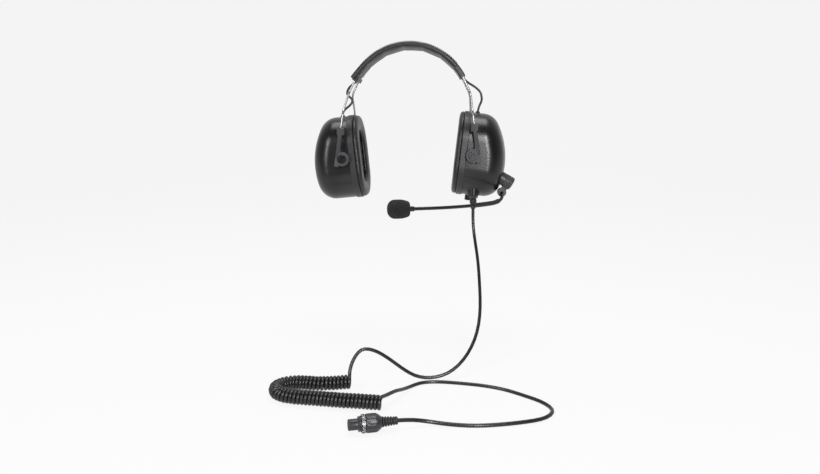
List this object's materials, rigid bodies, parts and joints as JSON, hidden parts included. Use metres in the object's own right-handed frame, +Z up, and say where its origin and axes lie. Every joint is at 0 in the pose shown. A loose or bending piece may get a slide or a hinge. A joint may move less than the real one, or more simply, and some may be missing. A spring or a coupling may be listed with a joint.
{
  "type": "radio headset",
  "caption": "Noise-reducing two-way-radio headset: two ear cups on a padded twin-wire headband, a boom microphone with foam cover, and a curly cord to a round multi-pin connector.",
  "frame": {"origin": "midway between the two ear cushions, on the axis through the wearer's ears", "axes": "+X to the wearer's left, -Y to the front, +Z up, as the headset is worn"},
  "size_m": [0.3156, 0.3586, 0.412],
  "materials": {
    "shell_plastic": "satin near-black moulded plastic",
    "arm_plastic": "matte dark grey glass-filled plastic",
    "black_plastic": "matte black plastic",
    "leatherette": "black leatherette over foam",
    "foam": "dark open-cell foam",
    "mic_foam": "dark grey open-cell foam",
    "black_rubber": "black rubber",
    "cord_rubber": "black polyurethane cord jacket, satin",
    "steel_wire": "bright stainless steel wire",
    "magnet_steel": "plated steel",
    "blackened_steel": "blackened metal",
    "bright_metal": "bright plated metal",
    "contact_brass": "gold-plated contacts",
    "board": "green circuit board"
  },
  "bodies": {
    "left_cup": {"left_base_ring": "black_plastic", "left_baffle": "black_plastic", "left_speaker_basket": "black_plastic", "left_speaker_magnet": "magnet_steel", "left_cup_foam": "foam", "left_ear_foam": "foam", "left_cushion_plate": "black_plastic", "left_ear_cushion": "leatherette", "left_lead_grommet": "black_rubber", "left_pivot_screws": "blackened_steel", "left_cup_shell": "shell_plastic", "cable_gland": "blackened_steel", "strain_relief": "black_rubber", "volume_pot": "black_plastic", "circuit_board": "board", "boom_mount": "black_plastic", "hub_screw": "blackened_steel", "cord_drop": "cord_rubber", "curly_cord": "cord_rubber", "cord_tail": "cord_rubber", "plug_boot": "black_rubber", "plug_body": "blackened_steel", "plug_pins": "contact_brass"},
    "volume_control": {"volume_shaft": "bright_metal", "volume_knob": "black_plastic"},
    "boom_hub": {"boom_hub": "black_plastic"},
    "boom": {"boom_tube": "blackened_steel", "boom_sleeve": "black_rubber", "mic_housing": "black_plastic", "mic_capsule": "bright_metal", "mic_windscreen": "mic_foam"},
    "plug_ring": {"plug_ring": "bright_metal"},
    "left_arms": {"left_front_arm": "arm_plastic", "left_rear_arm": "arm_plastic"},
    "headband": {"front_wire": "steel_wire", "rear_wire": "steel_wire", "head_pad": "leatherette", "pad_core": "black_plastic", "left_bridge": "black_plastic", "right_bridge": "black_plastic", "pad_lead": "cord_rubber", "left_lead": "cord_rubber", "right_lead": "cord_rubber"},
    "right_arms": {"right_front_arm": "arm_plastic", "right_rear_arm": "arm_plastic"},
    "right_cup": {"right_base_ring": "black_plastic", "right_baffle": "black_plastic", "right_speaker_basket": "black_plastic", "right_speaker_magnet": "magnet_steel", "right_cup_foam": "foam", "right_ear_foam": "foam", "right_cushion_plate": "black_plastic", "right_ear_cushion": "leatherette", "right_lead_grommet": "black_rubber", "right_pivot_screws": "blackened_steel", "right_cup_shell": "shell_plastic"}
  },
  "joints": [
    {"name": "left_cup_tilt", "type": "hinge", "parent": "left_cup", "child": "left_arms", "pos_m": [0.0855, 0, 0], "axis": [0, 1, 0], "range_deg": [-12, 12]},
    {"name": "left_height", "type": "slide", "parent": "left_arms", "child": "headband", "axis": [-0.1392, 0, 0.9903], "range_m": [-0.008, 0.025], "deforming": ["left_lead"]},
    {"name": "right_height", "type": "slide", "parent": "headband", "child": "right_arms", "axis": [-0.1392, 0, -0.9903], "range_m": [-0.013, 0.02], "deforming": ["right_lead"]},
    {"name": "right_cup_tilt", "type": "hinge", "parent": "right_arms", "child": "right_cup", "pos_m": [-0.0862, 0, -0.00495], "axis": [0, 1, 0], "range_deg": [-12, 12]},
    {"name": "boom_swing", "type": "hinge", "parent": "left_cup", "child": "boom_hub", "pos_m": [0.129, -0.02, -0.0332], "axis": [-0.8572, 0, 0.515], "range_deg": [-10, 60]},
    {"name": "boom_roll", "type": "hinge", "parent": "boom_hub", "child": "boom", "pos_m": [0.1259, -0.02, -0.05001], "axis": [0, 1, 0], "range_deg": [-15, 25]},
    {"name": "volume_turn", "type": "hinge", "parent": "left_cup", "child": "volume_control", "pos_m": [0.0818, 0, -0.05475], "axis": [-0.1045, 0, -0.9945], "range_deg": [0, 270]},
    {"name": "plug_ring_turn", "type": "hinge", "parent": "left_cup", "child": "plug_ring", "pos_m": [-0.02604, -0.29272, -0.2534], "axis": [-0.9632, -0.2689, 0], "range_deg": [0, 60]}
  ]
}
